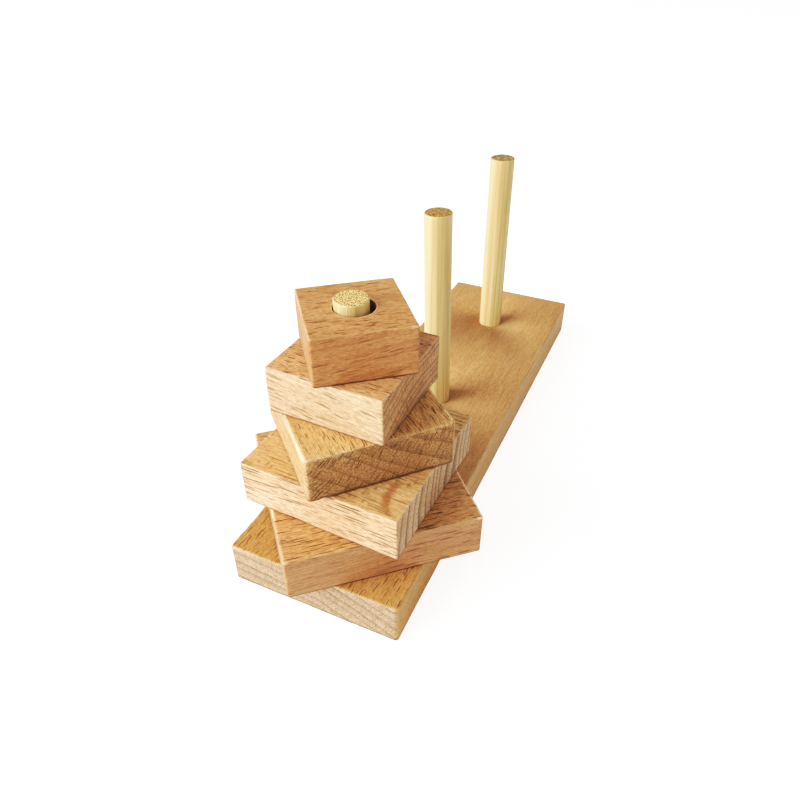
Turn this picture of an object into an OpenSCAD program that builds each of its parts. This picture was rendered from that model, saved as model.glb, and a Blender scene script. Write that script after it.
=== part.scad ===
// Tower of Hanoi puzzle: a long wooden base with three upright pegs, and a stack of square
// blocks, each bored through its middle, on the front peg. The smallest block is on top.
// Millimetres. +Z is up, the base is long along Y, and the stack is at the -Y end.
// The origin is at the centre of the base's underside.

/* [Base] */
// Length of the base
base_l = 202; // [196:1:260]
// Width of the base
base_w = 58; // [40:1:80]
// Thickness of the base
base_t = 15; // [13:0.5:24]
// Softening of the base's edges
base_bevel = 0.7; // [0.2:0.1:2]

/* [Pegs] */
// Diameter of a peg
peg_d = 10; // [8:0.5:11]
// Height of a peg above the base
peg_h = 77.5; // [76:0.5:100]
// Distance from one peg to the next, along the base
peg_pitch = 67.5; // [64:0.5:70]
// Rounding of a peg's top edge
peg_round = 0.5; // [0.2:0.1:2]
// Depth of the blind hole that a peg is glued into
seat_depth = 10; // [6:0.5:11]
// How much the foot of a peg tapers in its hole, on the radius
foot_taper = 0.4; // [0.2:0.1:1]
// How far a peg's taper runs on above the top of the base
foot_rise = 0.3; // [0.1:0.1:1]
// Thickness of the glue film at the hole's mouth
glue_gap = 0.05; // [0.02:0.01:0.1]
// Lean of the middle peg towards -X, in degrees, from a hole drilled by hand
middle_lean = 1.6; // [0:0.1:2]
// Lean of the rear peg towards -X, in degrees
rear_lean = 0.6; // [0:0.1:2]

/* [Blocks] */
// Thickness of a block
block_t = 15; // [12:0.5:15]
// Side of the smallest block
block_min = 29; // [26:0.5:32]
// How much wider each block is than the one above it
block_step = 7.8; // [5:0.1:8]
// Softening of a block's edges
block_bevel = 0.6; // [0.2:0.1:1.5]
// Diameter of the bore through a block
bore_d = 12; // [11.5:0.1:13]
// Softening of the bore's two rims
rim_bevel = 0.4; // [0.1:0.1:1]

/* [Stack] */
// Turn of block 1, the smallest, about the peg, in degrees
turn_1 = 39; // [-45:0.5:90]
// Turn of block 2
turn_2 = -1.5; // [-45:0.5:90]
// Turn of block 3
turn_3 = 47; // [-45:0.5:90]
// Turn of block 4
turn_4 = -2.5; // [-45:0.5:90]
// Turn of block 5, the largest
turn_5 = 42; // [-45:0.5:90]
// How far each block has slid off the peg's axis, within the play of its bore
block_slip = 0.7; // [0:0.1:0.7]

/* [Hidden] */
$fn = 96;
eps = 0.1;
block_count = 5;
block_turn = [turn_1, turn_2, turn_3, turn_4, turn_5];
// Direction that each block has slid in, block 1 first, in degrees from +X
slip_dir = [16, 100, -60, -30, -30];
// Place of each block's bore from the block's middle, as drilled by hand, block 1 first
bore_off = [[0, 0], [0.1, -0.5], [0, 0], [-1, 0.6], [0, 0]];
// Place of each peg along the base: front, middle, rear
peg_y = [-peg_pitch, 0, peg_pitch];
peg_lean = [0, -middle_lean, -rear_lean];

beech = [0.82, 0.62, 0.42];
bamboo = [0.93, 0.85, 0.62];

// Side of block n, where block 1 is the smallest
function block_side(n) = block_min + (n - 1) * block_step;

// Box standing on z = 0, centred in x and y, with all its edges bevelled
module soft_box(size, bevel) {
    translate([0, 0, size.z / 2]) hull()
        for (axis = [0 : 2])
            cube([for (i = [0 : 2]) size[i] - (i == axis ? 0 : 2 * bevel)], center = true);
}

// Puts its children at the foot of peg k, on top of the base and in line with the peg
module at_peg(k) {
    translate([0, peg_y[k], base_t]) rotate([0, peg_lean[k], 0]) children();
}

// Peg with a rounded top and a tapered foot, standing on the floor of its blind hole
module peg(k) {
    r = peg_d / 2;
    foot = [[0, -seat_depth], [r - foot_taper, -seat_depth], [r, foot_rise]];
    top = [for (a = [0 : 15 : 90]) [r - peg_round * (1 - cos(a)), peg_h - peg_round * (1 - sin(a))]];
    color(bamboo) at_peg(k) rotate_extrude() polygon(concat(foot, top, [[0, peg_h]]));
}

// Square block n with its bore, at its place in the stack
module block(n) {
    side = block_side(n);
    slip = block_slip * [cos(slip_dir[n - 1]), sin(slip_dir[n - 1])];
    color(beech)
        translate([slip.x, peg_y[0] + slip.y, base_t + (block_count - n) * block_t])
            rotate([0, 0, block_turn[n - 1]])
                difference() {
                    translate(-bore_off[n - 1]) soft_box([side, side, block_t], block_bevel);
                    bore();
                }
}

// Through-bore of a block, opened out at both rims
module bore() {
    wide = bore_d + 2 * (rim_bevel + eps);
    translate([0, 0, -eps]) cylinder(d = bore_d, h = block_t + 2 * eps);
    translate([0, 0, -eps]) cylinder(d1 = wide, d2 = bore_d, h = rim_bevel + eps);
    translate([0, 0, block_t - rim_bevel]) cylinder(d1 = bore_d, d2 = wide, h = rim_bevel + eps);
}

module base_board() {
    color(beech)
        difference() {
            soft_box([base_w, base_l, base_t], base_bevel);
            for (k = [0 : 2])
                at_peg(k) translate([0, 0, -seat_depth]) cylinder(d = peg_d + 2 * glue_gap, h = seat_depth + 1);
        }
}

module peg_front() peg(0);
module peg_middle() peg(1);
module peg_rear() peg(2);

module block_1() block(1);
module block_2() block(2);
module block_3() block(3);
module block_4() block(4);
module block_5() block(5);

base_board();
peg_front();
peg_middle();
peg_rear();
block_1();
block_2();
block_3();
block_4();
block_5();
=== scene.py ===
"""Tower of Hanoi puzzle: beech base and blocks, bamboo pegs, as real wood pieces round the CAD frame.

Every mesh stays in the row frame. What a material needs to know of the wood is stored on the mesh:
"wood" is the place inside the log in millimetres (z along the grain, the pith at x = y = 0), "end" is
how squarely the surface cuts across the grain, "bark" is how squarely it faces the pith or the bark, and
"edge" marks rounded edges, 1 on the upper ones and -1 on the lower, and "bore" marks drilled walls, 1,
and their upper rims, -1.
"""
import math

import bmesh
import bpy
import numpy as np
from mathutils import Matrix, Vector, noise


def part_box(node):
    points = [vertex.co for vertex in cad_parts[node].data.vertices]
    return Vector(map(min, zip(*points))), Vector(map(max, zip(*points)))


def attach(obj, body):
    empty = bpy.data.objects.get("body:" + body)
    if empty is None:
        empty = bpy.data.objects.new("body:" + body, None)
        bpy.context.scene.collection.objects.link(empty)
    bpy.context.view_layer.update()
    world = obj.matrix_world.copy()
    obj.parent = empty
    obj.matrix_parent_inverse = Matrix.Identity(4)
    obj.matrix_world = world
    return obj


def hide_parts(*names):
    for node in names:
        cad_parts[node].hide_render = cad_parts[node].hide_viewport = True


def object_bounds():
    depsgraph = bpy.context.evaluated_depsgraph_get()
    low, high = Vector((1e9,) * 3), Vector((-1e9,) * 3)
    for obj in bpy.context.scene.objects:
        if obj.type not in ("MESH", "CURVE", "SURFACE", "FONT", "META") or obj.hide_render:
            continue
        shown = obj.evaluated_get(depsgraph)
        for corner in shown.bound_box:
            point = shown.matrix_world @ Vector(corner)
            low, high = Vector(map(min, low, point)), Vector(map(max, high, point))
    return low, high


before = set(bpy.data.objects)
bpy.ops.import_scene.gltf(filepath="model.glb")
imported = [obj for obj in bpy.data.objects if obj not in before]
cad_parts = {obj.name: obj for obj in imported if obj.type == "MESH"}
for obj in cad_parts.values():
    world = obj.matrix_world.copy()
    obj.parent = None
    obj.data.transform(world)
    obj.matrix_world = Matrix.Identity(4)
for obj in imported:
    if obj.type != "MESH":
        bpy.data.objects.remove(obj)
cad_lo, cad_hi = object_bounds()

MM = 0.001

PEGS = ["peg_front", "peg_middle", "peg_rear"]
# Colour of each peg's tip: the front one is paler than the others.
PEG_TIPS = {
    "peg_front": (0.90, 0.64, 0.25),
    "peg_middle": (0.40, 0.215, 0.058),
    "peg_rear": (0.33, 0.19, 0.07),
}
# How far apart the pegs lie in the pattern of the cane, in mm.
CANE_STEP = np.array([31.0, 17.0, 400.0])
# How far along the log each block is cut from the one before, in mm, so that no two blocks match.
LOG_STEP = 173
# A hair off the top and bottom of each block, so that faces lying on each other never coincide.
STACK_GAP = 0.01 * MM
# The base's place in the log, in those steps. Block 3 has the same one, on the pith's other side.
BASE_SEED = 3

# Radius of a bore's softened rims.
BORE_RIM = 0.4 * MM
# Thickness of the glue film round a peg's foot, and how far the foot's taper runs on above the base.
GLUE_FILM = 0.05 * MM
FOOT_RISE = 0.3 * MM

# Beech, from its palest worn edges to its darkest flecks, and the stain on one block. The palest colour also
# paints highlights on the upper edges and bore rims, and the darkest paints shade under the lower edges and
# inside the bores.
CREAM = (0.92, 0.70, 0.46)
PALE = (0.74, 0.44, 0.225)
MID = (0.62, 0.310, 0.132)
DARK = (0.32, 0.145, 0.052)
FLECK_AND_SHADE = (0.12, 0.060, 0.024)
STAIN = (0.26, 0.085, 0.022)
# Bamboo, its darker fibres, and the bundles that dot its ends.
STRAW = (0.84, 0.665, 0.335)
TAN = (0.63, 0.43, 0.17)
BUNDLE = (0.10, 0.045, 0.010)

# How each board was cut from its log, and how it was finished.
#   grain  the grain's direction in the board's own plan, in degrees from its x side
#   climb  its rise out of that plan, in degrees
#   pith   the place of the pith as seen along the grain, in mm to the left of and above the board's centre
#   ring   the usual width of a year ring, in mm
#   dash   the dark dashes: their spacing across and along the grain, in mm, and the share of places
#          that have one
#   figure how strongly the grain shows along the board, "bands" the year rings there, and "patchy" how much
#          its colour varies from place to place
#   side   the share of its dashes' strength that is left where it is cut along the rays, and "ripple" and
#          "soft" how strongly small cross marks and long flecks show there
#   ray    how strongly the rays show where it is cut across the grain, and "rings" the year rings
#          and "grit" the pores
#   pale_edges  how pale its upper edges are, at its two ends and along its sides: partly wear, partly a
#   painted highlight
#   tone   a tint for the whole board, with further tints where it is cut across the grain, "end",
#          and where it is cut along the rays, "flank"
#   calm   where, in mm along the grain from the board's centre, the dashes fade away, and "lit_tint" a painted
#          light: a lighter, less saturated tint on the wood beyond, for brighter light on that part
#   stain  an arc-shaped stain on its top: the arc's middle and radius, and the stain's own middle, in mm
#          from the board's centre
#   edge   the usual radius of its edges, and "corner" that of its upright corners, in mm
CUTS = {
    "base_board": {"grain": 90, "climb": 0.5, "pith": (30, -120), "ring": 3.6, "dash": (0.50, 6.0, 0.9),
                   "figure": 1.0, "side": 0.2, "ray": 0.15, "rings": 0.7, "bands": 0.1, "ripple": 0.1,
                   "soft": 0.1, "grit": 0.42, "patchy": 0.25, "pale_edges": (0.7, 0.25),
                   "tone": (0.88, 0.82, 0.64), "end": (1.04, 1.36, 2.25), "flank": (1.20, 1.38, 1.62),
                   "edge": 0.5, "corner": 1.2, "calm": (-60, -30), "lit_tint": (0.99, 1.05, 1.25)},
    "block_1": {"grain": 0, "climb": 6.0, "pith": (20, -90), "ring": 2.6, "dash": (0.52, 7.5, 0.6),
                "figure": 1.1, "side": 0.5, "ray": 0.4, "rings": 0.5, "bands": 0.35, "ripple": 0.1,
                "soft": 0.5, "grit": 0.3, "patchy": 0.6, "pale_edges": (0.5, 0.12), "tone": (0.92, 0.82, 0.74),
                "end": (0.94, 0.97, 1.04), "flank": (0.92, 0.88, 0.84), "edge": 0.35, "corner": 0.6},
    "block_2": {"grain": 0, "climb": -7.0, "pith": (14, -80), "ring": 2.4, "dash": (0.52, 9.5, 0.7),
                "figure": 1.3, "side": 0.7, "ray": 0.5, "rings": 0.6, "bands": 0.5, "ripple": 0.1,
                "soft": 0.3, "grit": 0.3, "patchy": 0.6, "pale_edges": (0.2, 0.35), "tone": (1.06, 1.04, 1.07),
                "end": (0.92, 0.96, 1.00), "flank": (1.18, 1.46, 1.71), "edge": 0.35, "corner": 0.6},
    "block_3": {"grain": 90, "climb": 1.0, "pith": (-47, 65), "ring": 4.4, "dash": (0.46, 6.0, 1.0),
                "figure": 1.2, "side": 0.6, "ray": 0.8, "rings": 0.45, "bands": 0.35, "ripple": 0.1,
                "soft": 0.1, "grit": 0.5, "patchy": 0.6, "pale_edges": (0.12, 0.7), "tone": (1.08, 1.10, 1.00),
                "end": (0.74, 0.70, 0.66), "flank": (1.07, 1.25, 1.60), "edge": 0.7, "corner": 1.6},
    "block_4": {"grain": 0, "climb": 0.5, "pith": (110, -20), "ring": 4.0, "dash": (0.55, 14.0, 1.0),
                "figure": 1.4, "side": 0.55, "ray": 0.15, "rings": 0.9, "bands": 0.25, "ripple": 0.7,
                "soft": 0.2, "grit": 0.3, "patchy": 0.6, "pale_edges": (0.1, 0.1), "tone": (1.36, 1.54, 1.84),
                "end": (0.78, 0.82, 0.90), "flank": (0.84, 0.78, 0.64), "edge": 0.35, "corner": 0.6,
                "stain": ((33, -16), 14, (20.5, -18.5))},
    "block_5": {"grain": 0, "climb": 2.0, "pith": (-18, -110), "ring": 3.4, "dash": (0.52, 11.0, 0.9),
                "figure": 1.3, "side": 0.2, "ray": 0.5, "rings": 0.6, "bands": 0.3, "ripple": 0.05,
                "soft": 0.9, "grit": 0.3, "patchy": 0.6, "pale_edges": (0.9, 0.12), "tone": (0.99, 0.92, 0.85),
                "end": (0.90, 1.00, 1.15), "flank": (0.89, 0.90, 1.00), "edge": 0.45, "corner": 0.6},
}


# ---------------------------------------------------------------- what the frame says

def node_points(node):
    """The points of a CAD node, each once, in metres."""
    points = np.array([v.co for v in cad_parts[node].data.vertices], float)
    return np.unique(points.round(7), axis=0)


def block_facts(node):
    """Centre, side and turn in radians of a block, and its bore's middle and radius, from its CAD node."""
    lo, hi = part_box(node)
    centre = (lo + hi) / 2
    level = 0.01
    walls = [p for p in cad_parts[node].data.polygons if abs(p.normal.z) < level]
    wall = max(walls, key=lambda p: p.area)
    side = 2 * (wall.center - centre).dot(wall.normal)
    lowest_turn = math.radians(-30)
    turn = (math.atan2(wall.normal.y, wall.normal.x) - lowest_turn) % (math.pi / 2) + lowest_turn
    plan = node_points(node)[:, :2]
    bore_zone = 9 * MM
    near = plan[np.hypot(*(plan - np.array(centre)[:2]).T) < bore_zone]
    bore_middle = near.mean(0)
    bore = np.hypot(*(near - bore_middle).T).min()
    return centre, side, turn, Vector((*bore_middle, centre.z)), bore


def peg_facts(node, floor_z):
    """Middle of the foot, direction, length, and radii at foot, wall and tip of a peg.

    The peg stands in a hole that goes down from floor_z.
    """
    points = node_points(node)
    foot_part, head_part, end_slice = 1 * MM, 5 * MM, 0.01 * MM
    foot = Vector(points[points[:, 2] < floor_z - foot_part].mean(0))
    head = Vector(points[points[:, 2] > points[:, 2].max() - head_part].mean(0))
    axis = (head - foot).normalized()
    along = np.array([(Vector(p) - foot).dot(axis) for p in points])
    off = np.array([(Vector(p) - foot).cross(axis).length for p in points])
    length = along.max()
    return foot, axis, length, off[along < foot_part].max(), off.max(), off[along > length - end_slice].max()


# ---------------------------------------------------------------- mesh building

def wave(x, y, seed):
    """Smooth value between about -1 and 1, another pattern for each seed."""
    pattern_step = 7.31
    return noise.noise(Vector((x, y, seed * pattern_step)))


def outline(width, length, corner, step, arc=6):
    """A rounded rectangle, anticlockwise: the points of its inner rectangle, and the way out at each."""
    hx, hy = width / 2 - corner, length / 2 - corner
    corners = [Vector(c) for c in ((hx, -hy), (hx, hy), (-hx, hy), (-hx, -hy))]
    core, out = [], []
    for k in range(4):
        start, end = corners[k], corners[(k + 1) % 4]
        count = max(2, round((end - start).length / step))
        turns = [(start.lerp(end, i / count), k) for i in range(count)]
        turns += [(end, k + i / arc) for i in range(arc)]
        core += [place for place, _ in turns]
        out += [Vector((math.cos(q * math.pi / 2), math.sin(q * math.pi / 2))) for _, q in turns]
    return core, out


def arc_steps(count):
    """Angles from 0 to a quarter turn."""
    return [math.pi / 2 * i / count for i in range(count + 1)]


class Rings:
    """Rings of points with equal counts, skinned into one smooth mesh, with a mark for each ring."""

    def __init__(self):
        self.rings, self.edge, self.bore = [], [], []

    def add(self, points, edge=0.0, bore=0.0):
        self.rings.append(points)
        self.edge.append(edge)
        self.bore.append(bore)

    def skin(self, closed):
        """A bmesh of the rings, with its vertices ring by ring, joined end to end if closed."""
        bm = bmesh.new()
        edge = bm.verts.layers.float.new("edge")
        bore = bm.verts.layers.float.new("bore")
        made = []
        for ring, e, b in zip(self.rings, self.edge, self.bore):
            row = [bm.verts.new(p) for p in ring]
            for v in row:
                v[edge], v[bore] = e, b
            made.append(row)
        pairs = list(zip(made, made[1:] + made[:1] if closed else made[1:]))
        for low, high in pairs:
            for i in range(len(low)):
                j = (i + 1) % len(low)
                bm.faces.new((low[i], low[j], high[j], high[i]))
        return bm, made


def worn(point, cut, seed):
    """Radius of an edge near a point: sanding makes it wander, and a few knocks open it out."""
    p = point / MM
    slow = wave(p.x * 0.11, p.y * 0.11, seed)
    quick = wave(p.x * 0.8, p.y * 0.8, seed + 0.5)
    rare = 0.35
    knock = max(0, wave(p.x * 0.3, p.y * 0.3, seed + 0.25) - rare)
    radius = cut["edge"] * (1 + 0.3 * slow + 0.25 * quick + 2.5 * knock)
    return min(radius, 0.95 * cut["corner"]) * MM


def add_marks(mesh, name, kind, field, values):
    """Stores values for each point on the mesh, for its material to read."""
    mark = mesh.attributes.new(name, kind, "POINT")
    mark.data.foreach_set(field, values.astype(np.float32).ravel())


def finish_mesh(name, bm, log_place, material, body, stands_for):
    """Turns the bmesh into a piece: smooth, with its wood marks, on its body, standing in for its CAD part.
    """
    bmesh.ops.recalc_face_normals(bm, faces=bm.faces)
    mesh = bpy.data.meshes.new(name)
    bm.to_mesh(mesh)
    bm.free()
    mesh.polygons.foreach_set("use_smooth", [True] * len(mesh.polygons))
    points = np.array([v.co for v in mesh.vertices])
    normals = np.array([v.normal for v in mesh.vertices])
    wood = log_place(points)
    facing = (log_place(points + normals * MM) - wood)
    outward = wood[:, :2] / np.hypot(*wood[:, :2].T)[:, None]
    add_marks(mesh, "wood", "FLOAT_VECTOR", "vector", wood)
    add_marks(mesh, "end", "FLOAT", "value", np.abs(facing[:, 2]))
    add_marks(mesh, "bark", "FLOAT", "value", np.abs((facing[:, :2] * outward).sum(1)))
    mesh.materials.append(material)
    piece = bpy.data.objects.new(name, mesh)
    bpy.context.scene.collection.objects.link(piece)
    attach(piece, body)
    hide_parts(stands_for)
    return piece


def log_frame(cut, centre, turn, seed):
    """A function from places in the row frame to places in the board's log, in mm."""
    plan = turn + math.radians(cut["grain"])
    climb = math.radians(cut["climb"])
    grain = Vector((math.cos(plan) * math.cos(climb), math.sin(plan) * math.cos(climb), math.sin(climb)))
    left = Vector((0, 0, 1)).cross(grain).normalized()
    axes = np.array([left, grain.cross(left), grain])
    start = np.array([*cut["pith"], -seed * LOG_STEP])

    def place(points):
        return (points - np.array(centre)) @ axes.T / MM - start

    return place


def block_rings(side, thick, bore_middle, bore, cut, seed):
    """Rings of a square block centred on the origin, with worn edges, round a drilled bore."""
    corner, mesh_step = cut["corner"] * MM, 0.6 * MM
    bore_rings, wall_rings, wall_margin = 6, 12, 0.2 * MM
    core, out = outline(side, side, corner, mesh_step)
    top, bottom = thick / 2, -thick / 2
    wear = [[worn(p, cut, seed + which) for p in core] for which in (0.0, 0.1)]
    toward = [(p + q * corner - bore_middle).normalized() for p, q in zip(core, out)]

    def outer(inset, height):
        """The outline drawn in by inset, at the height given, both lists."""
        return [Vector((*(p + q * (corner - i)), z)) for p, q, i, z in zip(core, out, inset, height)]

    def inner(radius, z):
        return [Vector((*(bore_middle + t * radius), z)) for t in toward]

    def rim(a, face, sign):
        """One ring of the quarter round from the bore's wall to a face."""
        return inner(bore + BORE_RIM * (1 - math.cos(a)), face - sign * BORE_RIM * (1 - math.sin(a)))

    def edge(which, face, sign):
        """Quarter round from the outer wall to a face."""
        for a in arc_steps(4):
            inset = [w * (1 - math.cos(a)) for w in wear[which]]
            yield outer(inset, [face - sign * w * (1 - math.sin(a)) for w in wear[which]])

    def face(which, z):
        """From the bore's rim out to the edge."""
        start, end = inner(bore + BORE_RIM, z), outer(wear[which], [z] * len(core))
        return [[a.lerp(b, s) for a, b in zip(start, end)] for s in (0.03, 0.2, 0.4, 0.6, 0.8, 0.97)]

    rings = Rings()
    for k in range(bore_rings + 1):
        rings.add(inner(bore, bottom + BORE_RIM + (thick - 2 * BORE_RIM) * k / bore_rings), bore=1)
    for a in arc_steps(4)[1:]:
        rings.add(rim(a, top, 1), edge=1, bore=-1)
    for ring in face(0, top):
        rings.add(ring)
    for ring in reversed(list(edge(0, top, 1))):
        rings.add(ring, edge=1)
    high = thick / 2 - corner - wall_margin
    for k in range(wall_rings + 1):
        rings.add(outer([0] * len(core), [high - 2 * high * k / wall_rings] * len(core)))
    for ring in edge(1, bottom, -1):
        rings.add(ring, edge=-1)
    for ring in reversed(face(1, bottom)):
        rings.add(ring)
    for a in reversed(arc_steps(4)[1:]):
        rings.add(rim(a, bottom, -1), edge=-1)
    return rings


def roughen(bm, amount, pitch, seed, keep_flat):
    """Moves points a little in and out, as hand sanding leaves a board, but not those that keep_flat names.

    pitch is the usual width of a hollow.
    """
    pattern_step = 5.7
    bm.normal_update()
    for v in bm.verts:
        if not keep_flat(v):
            p = v.co / pitch
            v.co += v.normal * amount * noise.noise(Vector((p.x, p.y, p.z + seed * pattern_step)))


# ---------------------------------------------------------------- materials

class Graph:
    """Shader nodes written as expressions: every call takes sockets or constants and returns a socket."""

    def __init__(self, name):
        self.material = bpy.data.materials.new(name)
        self.material.use_nodes = True
        self.tree = self.material.node_tree
        self.shader = self.tree.nodes["Principled BSDF"]

    def put(self, socket, value):
        if isinstance(value, bpy.types.NodeSocket):
            self.tree.links.new(value, socket)
        elif socket.type == "RGBA" and len(value) == 3:
            socket.default_value = (*value, 1)
        else:
            socket.default_value = value

    def node(self, kind, inputs=(), **settings):
        """A node of that kind. inputs are by place, or a dict by name."""
        made = self.tree.nodes.new(kind)
        for key, value in settings.items():
            setattr(made, key, value)
        pairs = inputs.items() if isinstance(inputs, dict) else enumerate(inputs)
        for key, value in pairs:
            self.put(made.inputs[key], value)
        return made

    def attribute(self, name):
        return self.node("ShaderNodeAttribute", attribute_name=name)

    def math(self, operation, *values):
        return self.node("ShaderNodeMath", values, operation=operation).outputs[0]

    def vector(self, operation, *values):
        made = self.node("ShaderNodeVectorMath", values, operation=operation)
        return made.outputs["Value" if operation == "LENGTH" else "Vector"]

    def parts(self, vector):
        return self.node("ShaderNodeSeparateXYZ", [vector]).outputs

    def join(self, x, y, z):
        return self.node("ShaderNodeCombineXYZ", [x, y, z]).outputs[0]

    def stretch(self, vector, x, y, z):
        return self.vector("MULTIPLY", vector, (x, y, z))

    def ramp(self, value, low, high, to_low=0.0, to_high=1.0):
        """Smooth step from to_low at low to to_high at high."""
        made = self.node("ShaderNodeMapRange", interpolation_type="SMOOTHSTEP")
        for socket, v in zip(made.inputs, (value, low, high, to_low, to_high)):
            self.put(socket, v)
        return made.outputs[0]

    def noise(self, vector, detail=2.0, rough=0.5):
        """Outputs of a noise whose features are about 1 wide: its value, and three values as a vector."""
        inputs = {"Vector": vector, "Scale": 1.0, "Detail": detail, "Roughness": rough}
        return self.node("ShaderNodeTexNoise", inputs).outputs

    def cells(self, vector, dimensions="3D"):
        """Distance to the nearest of a field of random points, and that point's own random number."""
        inputs = {"Vector": vector, "Scale": 1.0}
        made = self.node("ShaderNodeTexVoronoi", inputs, voronoi_dimensions=dimensions)
        number = self.node("ShaderNodeSeparateColor", [made.outputs["Color"]]).outputs[0]
        return made.outputs["Distance"], number

    def mix(self, factor, a, b, blend="MIX"):
        made = self.node("ShaderNodeMix", data_type="RGBA", blend_type=blend)
        for index, value in ((0, factor), (6, a), (7, b)):
            self.put(made.inputs[index], value)
        return made.outputs[2]


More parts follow.
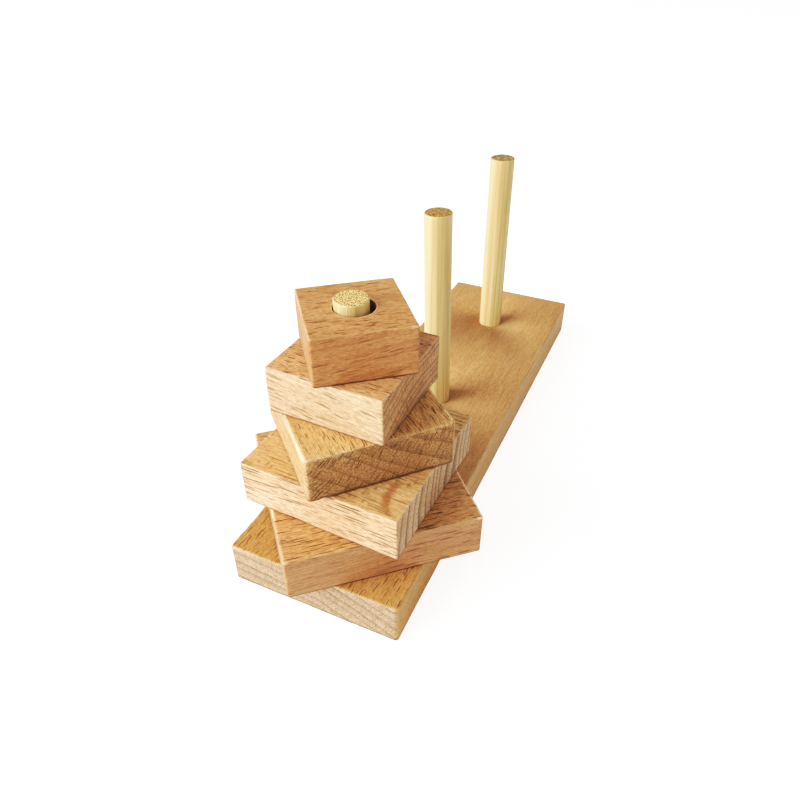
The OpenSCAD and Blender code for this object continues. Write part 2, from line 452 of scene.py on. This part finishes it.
def beech(name, cut, seed, half_length):
    """Beech: year rings, medullary rays and fine pores, as one solid pattern that all faces cut through.

    half_length is half the board's length along the grain, in mm.
    """
    g = Graph(name)
    wood = g.attribute("wood").outputs["Vector"]
    across = g.ramp(g.attribute("end").outputs["Fac"], 0.6, 0.95)
    lengthwise = g.math("SUBTRACT", 1.0, across)
    bark = g.attribute("bark").outputs["Fac"]
    edge = g.attribute("edge").outputs["Fac"]
    bore = g.attribute("bore").outputs["Fac"]

    # The log isn't round: its rings wander slowly, and shiver a little along the grain.
    slow = g.vector("SUBTRACT", g.noise(g.stretch(wood, 0.035, 0.035, 0.009))[1], (0.5, 0.5, 0.5))
    quick = g.vector("SUBTRACT", g.noise(g.stretch(wood, 0.30, 0.30, 0.07))[1], (0.5, 0.5, 0.5))
    bent = g.vector("ADD", wood, g.stretch(slow, 7.0, 7.0, 0.0))
    bent = g.vector("ADD", bent, g.stretch(quick, 0.6, 0.6, 0.0))
    x, y, z = g.parts(bent)
    radius = g.vector("LENGTH", g.join(x, y, 0.0))
    around = g.math("MULTIPLY", g.math("ARCTAN2", y, x), math.hypot(*cut["pith"]))

    # Year rings: the wood darkens towards a thin line, then starts pale again.
    drift = g.noise(g.join(g.math("MULTIPLY", radius, 0.16), 3.7, 0.0), detail=1.0)[0]
    year = g.math("ADD", g.math("DIVIDE", radius, cut["ring"]), g.math("MULTIPLY", drift, 1.8))
    share = g.math("FRACT", year)
    late = g.math("MULTIPLY", g.math("POWER", share, 3.5), g.ramp(share, 1.0, 0.94))

    def lines(width, out, along, chance, low=0.42, high=0.26):
        """Short lines, as cells with sizes in mm around the pith, out from it and along the grain.

        chance is the share of cells with a line, which grows from low in to high, where it is full.
        """
        places = (g.math("DIVIDE", part, size) for part, size in ((around, width), (radius, out), (z, along)))
        distance, number = g.cells(g.join(*places))
        kept = g.ramp(number, 1 - chance, 1 - chance * 0.6)
        return g.math("MULTIPLY", g.ramp(distance, low, high), kept)

    width, along, chance = cut["dash"]
    bold = lines(width, 0.8, along, chance, low=0.37, high=0.24)
    fine = lines(width * 0.6, 0.4, along * 0.3, chance=0.9)
    ripple = lines(0.8, 4.0, 1.4, chance=0.6, low=0.5, high=0.2)
    soft = lines(1.4, 1.2, 7.5, chance=0.55, low=0.42, high=0.2)
    ray_gap, ray_length = 0.62, 8.0
    rays = g.join(g.math("DIVIDE", around, ray_gap), g.math("DIVIDE", radius, ray_length), 0.0)
    distance, number = g.cells(rays, "2D")
    rays = g.math("MULTIPLY", g.ramp(distance, 0.34, 0.14), g.ramp(number, 0.0, 0.7))

    # Pores: tiny tubes along the grain, streaks on a side and dots on an end.
    pores = g.noise(g.stretch(bent, 6.0, 6.0, 0.30), detail=3.0, rough=0.7)[0]
    streak = g.ramp(pores, 0.45, 0.72)
    vein = g.ramp(g.noise(g.stretch(bent, 1.5, 1.5, 0.05), detail=2.0, rough=0.6)[0], 0.48, 0.62)
    fleecy = g.noise(g.stretch(wood, 2.4, 2.4, 0.8), detail=2.0, rough=0.7)[0]
    specks, sheen = g.ramp(fleecy, 0.50, 0.64), g.ramp(fleecy, 0.46, 0.34)
    grit = g.noise(g.stretch(wood, 1.8, 1.8, 1.2), detail=2.0, rough=0.8)[0]
    hollows, crumbs = g.ramp(grit, 0.49, 0.58), g.ramp(grit, 0.47, 0.38)
    cloud = g.noise(g.stretch(wood, 0.09, 0.09, 0.02), detail=2.0)[0]

    spread = 0.5 * cut["patchy"]
    colour = g.mix(g.ramp(cloud, 0.3, 0.7, 0.5 - spread, 0.5 + spread), PALE, MID)
    crisp = g.math("MULTIPLY", lengthwise, g.ramp(bark, 0.2, 0.9, cut["side"], 1.0))
    if "calm" in cut:
        start, stop = (seed * LOG_STEP + limit for limit in cut["calm"])
        crisp = g.math("MULTIPLY", crisp, g.ramp(z, start, stop, 1.0, 0.3))
        # Painted light: beyond that point the wood is tinted lighter and less saturated, standing in for
        # brighter light on that part of the board.
        colour = g.mix(g.ramp(z, start, stop), colour, g.mix(1.0, colour, cut["lit_tint"], "MULTIPLY"))
    sideways = g.math("MULTIPLY", lengthwise, g.ramp(bark, 0.8, 0.2))
    figure = cut["figure"]
    for amount, layer, tone in (
        (0.22, g.math("MULTIPLY", sheen, lengthwise), CREAM),
        (0.50 * cut["grit"], g.math("MULTIPLY", crumbs, across), CREAM),
        (cut["bands"], late, DARK),
        (0.22 * figure, g.math("MULTIPLY", vein, lengthwise), DARK),
        (0.40 * figure, streak, DARK),
        (0.30 * figure, specks, DARK),
        (cut["ripple"], g.math("MULTIPLY", ripple, sideways), DARK),
        (cut["soft"], g.math("MULTIPLY", soft, sideways), DARK),
        (0.50 * figure, g.math("MULTIPLY", fine, crisp), FLECK_AND_SHADE),
        (0.80 * figure, g.math("MULTIPLY", bold, crisp), FLECK_AND_SHADE),
        (0.25, g.math("MULTIPLY", specks, across), FLECK_AND_SHADE),
        (cut["grit"], g.math("MULTIPLY", hollows, across), FLECK_AND_SHADE),
        (cut["rings"], g.math("MULTIPLY", late, across), FLECK_AND_SHADE),
        (cut["ray"], g.math("MULTIPLY", rays, across), FLECK_AND_SHADE),
    ):
        colour = g.mix(g.math("MULTIPLY", layer, amount), colour, tone)
    colour = g.mix(across, colour, g.mix(1.0, colour, cut["end"], "MULTIPLY"))
    flank = g.math("MULTIPLY", lengthwise, g.ramp(bark, 0.75, 0.35))
    colour = g.mix(flank, colour, g.mix(1.0, colour, cut["flank"], "MULTIPLY"))
    if "stain" in cut:
        (along, left), arc, spot = cut["stain"]
        pith_left, pith_up = cut["pith"]
        plan = g.join(g.math("SUBTRACT", z, seed * LOG_STEP + along), g.math("ADD", x, pith_left - left), 0.0)
        off = g.math("ABSOLUTE", g.math("SUBTRACT", g.vector("LENGTH", plan), arc))
        frayed = g.noise(g.stretch(wood, 0.9, 0.9, 0.5), detail=3.0, rough=0.7)[0]
        off = g.math("ADD", off, g.math("MULTIPLY", g.math("SUBTRACT", frayed, 0.5), 1.8))
        near_spot = g.vector("LENGTH", g.vector("SUBTRACT", plan, (spot[0] - along, spot[1] - left, 0)))
        band = g.math("MULTIPLY", g.ramp(off, 2.1, 0.2), g.ramp(near_spot, 8.0, 3.5))
        near_top = g.ramp(y, 5.5 - pith_up, 7.0 - pith_up)
        colour = g.mix(g.math("MULTIPLY", g.math("MULTIPLY", band, near_top), 0.8), colour, STAIN)
    # The upper edges are pale, with a ragged border: partly wear, and partly a painted highlight where the
    # rounded edges catch the light.
    ragged = g.noise(g.stretch(wood, 1.1, 1.1, 0.9), detail=3.0, rough=0.7)[0]
    handled = g.ramp(g.noise(g.stretch(wood, 0.05, 0.05, 0.05), detail=1.0)[0], 0.38, 0.6, 0.3, 1.0)
    wear_and_highlight = g.ramp(g.math("ADD", edge, g.math("MULTIPLY", ragged, 1.8)), 1.45, 1.75)
    wear_and_highlight = g.math("MULTIPLY", wear_and_highlight, g.math("SUBTRACT", 1.0, g.math("MULTIPLY", bold, 0.8)))
    at_end = g.math("ABSOLUTE", g.math("SUBTRACT", g.parts(wood)[2], seed * LOG_STEP))
    at_end = g.ramp(at_end, half_length - 2.0, half_length - 1.2, cut["pale_edges"][1], cut["pale_edges"][0])
    colour = g.mix(g.math("MULTIPLY", wear_and_highlight, g.math("MULTIPLY", handled, at_end)), colour, CREAM)
    # Painted shade: the lower rounded edges are darkened towards the darkest colour, for the contact shadow
    # where a piece rests on what lies below.
    colour = g.mix(g.ramp(edge, -0.2, -1.0, 0.0, 0.75), colour, FLECK_AND_SHADE)
    # Painted shade: the bore walls are darkened, for the shade inside the drilled hole.
    colour = g.mix(g.ramp(bore, 0.0, 1.0, 0.0, 0.6), colour, FLECK_AND_SHADE)
    # Painted highlight: the upper rims of the bores are paled.
    colour = g.mix(g.ramp(bore, -0.5, -1.0, 0.0, 0.5), colour, CREAM)
    colour = g.mix(1.0, colour, cut["tone"], "MULTIPLY")
    g.put(g.shader.inputs["Base Color"], colour)

    height = g.math("ADD", g.math("MULTIPLY", streak, -0.5), g.math("MULTIPLY", bold, -0.6))
    height = g.math("ADD", height, g.math("MULTIPLY", g.math("MULTIPLY", hollows, across), -1.0))
    bump = g.node("ShaderNodeBump", {"Strength": 0.5, "Distance": 0.06 * MM, "Height": height})
    g.put(g.shader.inputs["Normal"], bump.outputs[0])
    rough = g.math("ADD", g.math("MULTIPLY", streak, 0.12), g.math("MULTIPLY", across, 0.18))
    g.put(g.shader.inputs["Roughness"], g.math("ADD", rough, 0.52))
    g.put(g.shader.inputs["Specular IOR Level"], 0.3)
    return g.material


def bamboo(name, tip):
    """Bamboo dowel: fibre bundles along the peg, which dot its ends; tip is the colour between them."""
    g = Graph(name)
    wood = g.attribute("wood").outputs["Vector"]
    across = g.ramp(g.attribute("end").outputs["Fac"], 0.6, 0.95)
    bundle_gap = 0.52
    distance, number = g.cells(g.stretch(wood, 1 / bundle_gap, 1 / bundle_gap, 0.0), "2D")
    dots = g.math("MULTIPLY", g.ramp(distance, 0.46, 0.28), g.ramp(number, 0.0, 0.3))
    fibre = g.noise(g.stretch(wood, 3.2, 3.2, 0.03), detail=3.0, rough=0.65)[0]
    broad = g.noise(g.stretch(wood, 0.35, 0.35, 0.012), detail=1.0)[0]
    colour = g.mix(g.ramp(broad, 0.3, 0.7), STRAW, TAN)
    colour = g.mix(g.math("MULTIPLY", g.ramp(fibre, 0.42, 0.7), 0.75), colour, TAN)
    grains = g.noise(g.stretch(wood, 0.8, 0.8, 0.8), detail=2.0, rough=0.8)[0]
    tip_colour = g.mix(g.ramp(grains, 0.50, 0.56, 0.0, 0.35), tip, STRAW)
    colour = g.mix(across, colour, tip_colour)
    shown = g.math("MULTIPLY", dots, g.math("ADD", g.math("MULTIPLY", across, 0.75), 0.2))
    colour = g.mix(shown, colour, BUNDLE)
    g.put(g.shader.inputs["Base Color"], colour)
    height = g.math("ADD", g.math("MULTIPLY", dots, -0.6), g.math("MULTIPLY", fibre, 0.5))
    bump = g.node("ShaderNodeBump", {"Strength": 0.4, "Distance": 0.05 * MM, "Height": height})
    g.put(g.shader.inputs["Normal"], bump.outputs[0])
    rough = g.math("ADD", g.ramp(fibre, 0.3, 0.8, 0.38, 0.5), g.math("MULTIPLY", across, 0.4))
    g.put(g.shader.inputs["Roughness"], rough)
    return g.material


# ---------------------------------------------------------------- pieces

base_lo, base_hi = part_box("base_board")
base_top = base_hi.z


def make_block(node, seed):
    centre, side, turn, bore_middle, bore = block_facts(node)
    lo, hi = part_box(node)
    half = (hi.z - lo.z) / 2 - STACK_GAP
    stand = Matrix.Translation(centre) @ Matrix.Rotation(turn, 4, "Z")
    bore_middle = (stand.inverted() @ bore_middle).xy
    bm, _ = block_rings(side, 2 * half, bore_middle, bore, CUTS[node], seed).skin(closed=True)
    face_slice = 0.1 * MM
    roughen(bm, 0.05 * MM, 9 * MM, seed, lambda v: abs(v.co.z) > half - face_slice)
    bmesh.ops.transform(bm, matrix=stand, verts=bm.verts)
    place = log_frame(CUTS[node], centre, turn, seed)
    material = beech("beech_" + node, CUTS[node], seed, side / 2 / MM)
    finish_mesh("wood_" + node, bm, place, material, node, node)


def make_peg(node, material, seed):
    foot, axis, length, foot_r, wall_r, tip_r = peg_facts(node, base_top)
    lean = Vector((0, 0, 1)).rotation_difference(axis).to_matrix().to_4x4()
    shoulder = (base_top - foot.z) / axis.z + FOOT_RISE
    soft = wall_r - tip_r
    count = 96
    spin = [2 * math.pi * i / count for i in range(count)]

    def ring(radius, s):
        return [Vector((radius * math.cos(a), radius * math.sin(a), s)) for a in spin]

    rings = Rings()
    for share in (0.15, 0.6, 0.97, 1.0):
        rings.add(ring(foot_r * share, 0))
    foot_edge = 0.1 * MM
    rings.add(ring(foot_r, foot_edge))
    rings.add(ring(wall_r, shoulder))
    steps = 40
    for k in range(1, steps + 1):
        s = shoulder + (length - soft - shoulder) * k / steps
        rings.add(ring(wall_r, s))
    for a in arc_steps(6)[1:]:
        rings.add(ring(wall_r - soft * (1 - math.cos(a)), length - soft * (1 - math.sin(a))), edge=1)
    for share in (0.97, 0.75, 0.5, 0.25, 0.1):
        rings.add(ring(tip_r * share, length))
    bm, rows = rings.skin(closed=False)
    for row, s in ((rows[0], 0), (rows[-1], length)):
        hub = bm.verts.new((0, 0, s))
        for i in range(count):
            bm.faces.new((row[i], row[(i + 1) % count], hub))
    bmesh.ops.transform(bm, matrix=Matrix.Translation(foot) @ lean, verts=bm.verts)

    def place(points):
        back = np.array(lean.to_3x3())
        return (points - np.array(foot)) @ back / MM + seed * CANE_STEP

    finish_mesh("wood_" + node, bm, place, material, "base", node)


def make_base():
    size = base_hi - base_lo
    middle = (base_lo + base_hi) / 2
    cut = CUTS["base_board"]
    corner, mesh_step = cut["corner"] * MM, 0.8 * MM
    wall_rings, wall_margin, brim_width, wear_seed = 10, 0.2 * MM, 0.3 * MM, 90
    core, out = outline(size.x, size.y, corner, mesh_step)
    count = len(core)
    wear = [[worn(p, cut, wear_seed + which) for p in core] for which in (0, 1)]

    def ring(inset, height):
        """The outline drawn in by inset, at the height given, both lists."""
        return [Vector((*(p + q * (corner - i)), z)) for p, q, i, z in zip(core, out, inset, height)]

    def rounded(which, face, sign, a):
        """One ring of the quarter round from the wall to a face."""
        inset = [w * (1 - math.cos(a)) for w in wear[which]]
        return ring(inset, [face - sign * w * (1 - math.sin(a)) for w in wear[which]])

    top, bottom = size.z / 2, -size.z / 2
    rings = Rings()
    rings.add(ring([w + brim_width for w in wear[1]], [bottom] * count))
    for a in reversed(arc_steps(4)):
        rings.add(rounded(1, bottom, -1, a), edge=-1)
    high = top - corner - wall_margin
    for k in range(wall_rings + 1):
        rings.add(ring([0] * count, [2 * high * k / wall_rings - high] * count))
    for a in arc_steps(4):
        rings.add(rounded(0, top, 1, a), edge=1)
    rings.add(ring([w + brim_width for w in wear[0]], [top] * count))
    bm, rows = rings.skin(closed=False)
    face_slice, hollow_seed = 0.1 * MM, 5
    roughen(bm, 0.06 * MM, 12 * MM, hollow_seed, lambda v: abs(v.co.z) > top - face_slice)
    bm.faces.new(rows[0])

    # The three blind holes, each in line with its peg.
    mouths = []
    sides = 64
    for node in PEGS:
        foot, axis, _, _, wall_r, _ = peg_facts(node, base_top)
        foot = foot - middle
        side = axis.cross(Vector((0, 1, 0))).normalized()
        other = axis.cross(side)
        hole_r = wall_r + GLUE_FILM
        rim, floor = [], []
        for i in range(sides):
            a = 2 * math.pi * i / sides
            p = foot + (side * math.cos(a) + other * math.sin(a)) * hole_r
            floor.append(bm.verts.new(p))
            rim.append(bm.verts.new(p + axis * ((top - p.z) / axis.z)))
        for i in range(sides):
            j = (i + 1) % sides
            bm.faces.new((floor[i], floor[j], rim[j], rim[i]))
        bm.faces.new(floor)
        mouths += [bm.edges.get((rim[i], rim[(i + 1) % sides])) for i in range(sides)]
    brim = rows[-1]
    mouths += [bm.edges.get((brim[i], brim[(i + 1) % count])) for i in range(count)]
    bmesh.ops.triangle_fill(bm, use_beauty=True, use_dissolve=False, edges=mouths, normal=(0, 0, 1))
    bmesh.ops.transform(bm, matrix=Matrix.Translation(middle), verts=bm.verts)
    place = log_frame(cut, middle, 0, BASE_SEED)
    material = beech("beech_base", cut, BASE_SEED, size.y / 2 / MM)
    finish_mesh("wood_base_board", bm, place, material, "base", "base_board")


make_base()
for seed, node in enumerate(PEGS, start=1):
    make_peg(node, bamboo("bamboo_" + node, PEG_TIPS[node]), seed)
for seed in range(1, 6):
    make_block(f"block_{seed}", seed)


# ---------------------------------------------------------------- floor, light and camera

middle = (cad_lo + cad_hi) / 2
reach = (cad_hi - cad_lo).length
LAMP_DISTANCE = 12 * reach


def direction(azimuth, elevation):
    """The way from the object to a camera or lamp: azimuth 0 is at -Y and 90 at +X."""
    a, e = math.radians(azimuth), math.radians(elevation)
    return Vector((math.sin(a) * math.cos(e), -math.cos(a) * math.cos(e), math.sin(e)))


def lamp(name, azimuth, elevation, size, power, colour):
    """A large soft disk lamp, aimed at the middle of the object."""
    light = bpy.data.lights.new(name, "AREA")
    light.shape, light.size, light.energy, light.color = "DISK", size, power, colour
    holder = bpy.data.objects.new(name, light)
    back = direction(azimuth, elevation)
    holder.location = middle + back * LAMP_DISTANCE
    holder.rotation_euler = back.to_track_quat("Z", "Y").to_euler()
    bpy.context.scene.collection.objects.link(holder)


lamp("key", azimuth=-47, elevation=25, size=13 * reach, power=173.0, colour=(1.0, 0.98, 0.96))
lamp("fill", azimuth=100, elevation=20, size=7 * reach, power=8.0, colour=(1.0, 0.95, 0.88))
lamp("top", azimuth=20, elevation=75, size=18 * reach, power=21.0, colour=(1.0, 0.96, 0.86))

world = bpy.data.worlds.new("studio")
world.use_nodes = True
sky = world.node_tree.nodes["Background"]
sky.inputs["Color"].default_value = (1, 0.98, 0.95, 1)
# The wall behind is white to the camera, and only dimly lights the object.
dim_light, white_wall = 0.47, 2.2
seen = world.node_tree.nodes.new("ShaderNodeLightPath")
lift = world.node_tree.nodes.new("ShaderNodeMapRange")
lift.inputs["To Min"].default_value = dim_light
lift.inputs["To Max"].default_value = white_wall
world.node_tree.links.new(seen.outputs["Is Camera Ray"], lift.inputs["Value"])
world.node_tree.links.new(lift.outputs["Result"], sky.inputs["Strength"])
bpy.context.scene.world = world


def set_tone(points):
    """A film-like tone curve: deep shadows, firm middle tones, and highlights that roll off above 1."""
    view = bpy.context.scene.view_settings
    view.view_transform = "Standard"
    view.use_curve_mapping = True
    mapping = view.curve_mapping
    mapping.clip_max_x = points[-1][0]
    curve = mapping.curves[3]
    curve.points[0].location = points[0]
    curve.points[1].location = points[-1]
    for x, y in points[1:-1]:
        curve.points.new(x, y)
    mapping.update()


shadows = [(0, 0), (0.07, 0.045), (0.14, 0.112)]
middle_tones = [(0.33, 0.35), (0.48, 0.50), (0.7, 0.65)]
highlights = [(1.0, 0.83), (1.4, 0.95), (1.9, 1.0)]
set_tone(shadows + middle_tones + highlights)

floor_mesh = bpy.data.meshes.new("floor")
half = 30 * reach
floor_corners = [(-half, -half, 0), (half, -half, 0), (half, half, 0), (-half, half, 0)]
floor_mesh.from_pydata(floor_corners, [], [(0, 1, 2, 3)])
floor_gap = 0.05 * MM
floor = bpy.data.objects.new("floor", floor_mesh)
floor.location = (middle.x, middle.y, cad_lo.z - floor_gap)
bpy.context.scene.collection.objects.link(floor)
paper = Graph("paper")
paper.put(paper.shader.inputs["Base Color"], (0.92, 0.92, 0.92))
paper.put(paper.shader.inputs["Emission Color"], (1.0, 1.0, 1.0))
seen = paper.node("ShaderNodeLightPath").outputs["Is Camera Ray"]
paper.put(paper.shader.inputs["Emission Strength"], seen)
paper.put(paper.shader.inputs["Roughness"], 0.9)
floor_mesh.materials.append(paper.material)

# The camera looks down along the board from its stack end, at a point left of and below the board's
# middle, so that the object stands to the right of the picture's centre as well as above it.
camera_azimuth, camera_elevation, camera_distance = 24.7, 36.44, 261.2 * MM
aim_height, aim_left, aim_down = 40 * MM, 15.1 * MM, 21.6 * MM
view_back = direction(camera_azimuth, camera_elevation)
view_right = direction(camera_azimuth + 90, 0)
view_up = view_back.cross(view_right)
aim = Vector((0, 0, aim_height)) - view_right * aim_left - view_up * aim_down
camera_data = bpy.data.cameras.new("camera")
camera_data.sensor_width = 36
camera_data.lens = 30.375
camera = bpy.data.objects.new("camera", camera_data)
camera.location = aim + view_back * camera_distance
camera.rotation_euler = view_back.to_track_quat("Z", "Y").to_euler()
camera_data.clip_start = 0.01
bpy.context.scene.collection.objects.link(camera)
bpy.context.scene.camera = camera
